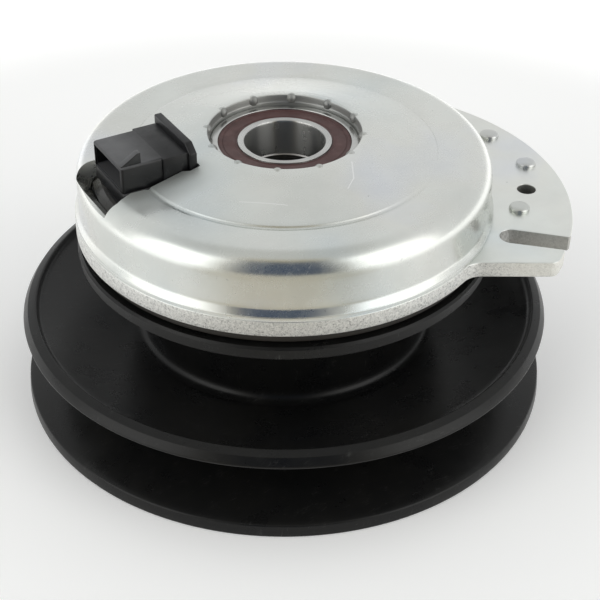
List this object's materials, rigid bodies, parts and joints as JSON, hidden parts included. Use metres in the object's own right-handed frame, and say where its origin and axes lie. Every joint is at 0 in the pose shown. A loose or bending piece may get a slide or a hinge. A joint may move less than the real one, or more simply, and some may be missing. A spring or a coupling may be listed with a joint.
{
  "type": "electromagnetic clutch",
  "caption": "Electric power-take-off clutch: domed field shell with connector and slotted torque tab, ball bearing in its centre, armature, and a stamped V-belt pulley below.",
  "frame": {"origin": "centre of the shaft bore, in the plane of the rotor hub's engine-side end face", "axes": "+Z along the shaft towards the engine; -X the way the electrical connector opens; the part stands on its lower pulley rim below the origin"},
  "size_m": [0.1783, 0.1746, 0.0956],
  "materials": {
    "zinc_plate": "bright zinc plate, satin",
    "black_coat": "semi-gloss black coating",
    "bearing_steel": "ground and polished steel",
    "ball_steel": "polished",
    "seal_rubber": "matt brown rubber",
    "cage_steel": "pressed steel",
    "connector_plastic": "moulded, fine grain",
    "terminal_brass": "tinned brass",
    "copper_wire": "enamelled copper",
    "bobbin_plastic": "moulded",
    "potting_resin": "cast resin",
    "raw_steel": "turned steel",
    "rotor_steel": "machined, dark",
    "spring_steel": "blued spring steel",
    "magnet_ferrite": "sintered ferrite",
    "friction_pad": "friction material"
  },
  "bodies": {
    "field": {"field_shell": "zinc_plate", "torque_plate": "zinc_plate", "tab_rivets": "zinc_plate", "brake_upper_pole": "black_coat", "brake_magnets": "magnet_ferrite", "brake_lower_pole": "black_coat", "brake_pad": "friction_pad", "inner_pole_ring": "raw_steel", "coil_bobbin": "bobbin_plastic", "coil_winding": "copper_wire", "coil_potting": "potting_resin", "connector_body": "connector_plastic", "connector_terminals": "terminal_brass", "field_bearing_outer_ring": "bearing_steel", "field_bearing_seal_top": "seal_rubber", "field_bearing_seal_bottom": "seal_rubber"},
    "rotor": {"rotor_hub": "raw_steel", "rotor_disc": "rotor_steel", "field_bearing_inner_ring": "bearing_steel", "pulley_bearing_lower_inner_ring": "bearing_steel", "pulley_bearing_upper_inner_ring": "bearing_steel", "bearing_inner_spacer": "raw_steel", "hub_snap_ring": "spring_steel"},
    "field_cage": {"field_bearing_balls": "ball_steel", "field_bearing_cage": "cage_steel"},
    "pulley": {"pulley_hub": "black_coat", "pulley_upper_half": "black_coat", "pulley_lower_half": "black_coat", "pulley_rivets": "black_coat", "pulley_snap_ring": "spring_steel", "bearing_outer_spacer": "raw_steel", "spring_carrier": "black_coat", "leaf_springs": "spring_steel", "spring_rivets": "raw_steel", "pulley_bearing_lower_outer_ring": "bearing_steel", "pulley_bearing_lower_seal_top": "seal_rubber", "pulley_bearing_lower_seal_bottom": "seal_rubber", "pulley_bearing_upper_outer_ring": "bearing_steel", "pulley_bearing_upper_seal_top": "seal_rubber", "pulley_bearing_upper_seal_bottom": "seal_rubber"},
    "pulley_cages": {"pulley_bearing_lower_balls": "ball_steel", "pulley_bearing_lower_cage": "cage_steel", "pulley_bearing_upper_balls": "ball_steel", "pulley_bearing_upper_cage": "cage_steel"},
    "armature": {"armature_plate": "black_coat", "armature_rivets": "raw_steel"}
  },
  "joints": [
    {"name": "rotor_spin", "type": "hinge", "parent": "field", "child": "rotor", "pos_m": [0, 0, 0], "axis": [0, 0, 1], "continuous": true},
    {"name": "field_cage_spin", "type": "hinge", "parent": "field", "child": "field_cage", "pos_m": [0, 0, 0], "axis": [0, 0, 1], "continuous": true},
    {"name": "pulley_spin", "type": "hinge", "parent": "rotor", "child": "pulley", "pos_m": [0, 0, 0], "axis": [0, 0, 1], "continuous": true},
    {"name": "pulley_cage_spin", "type": "hinge", "parent": "rotor", "child": "pulley_cages", "pos_m": [0, 0, 0], "axis": [0, 0, 1], "continuous": true},
    {"name": "armature_pull", "type": "slide", "parent": "pulley", "child": "armature", "axis": [0, 0, 1], "range_m": [0, 0.0004], "stiffness_N_per_m": 20000, "springref_m": -0.0005}
  ],
  "couplings": [
    {"joint": "field_cage_spin", "follows": "rotor_spin", "ratio": 0.4116},
    {"joint": "pulley_cage_spin", "follows": "pulley_spin", "ratio": 0.5825}
  ]
}
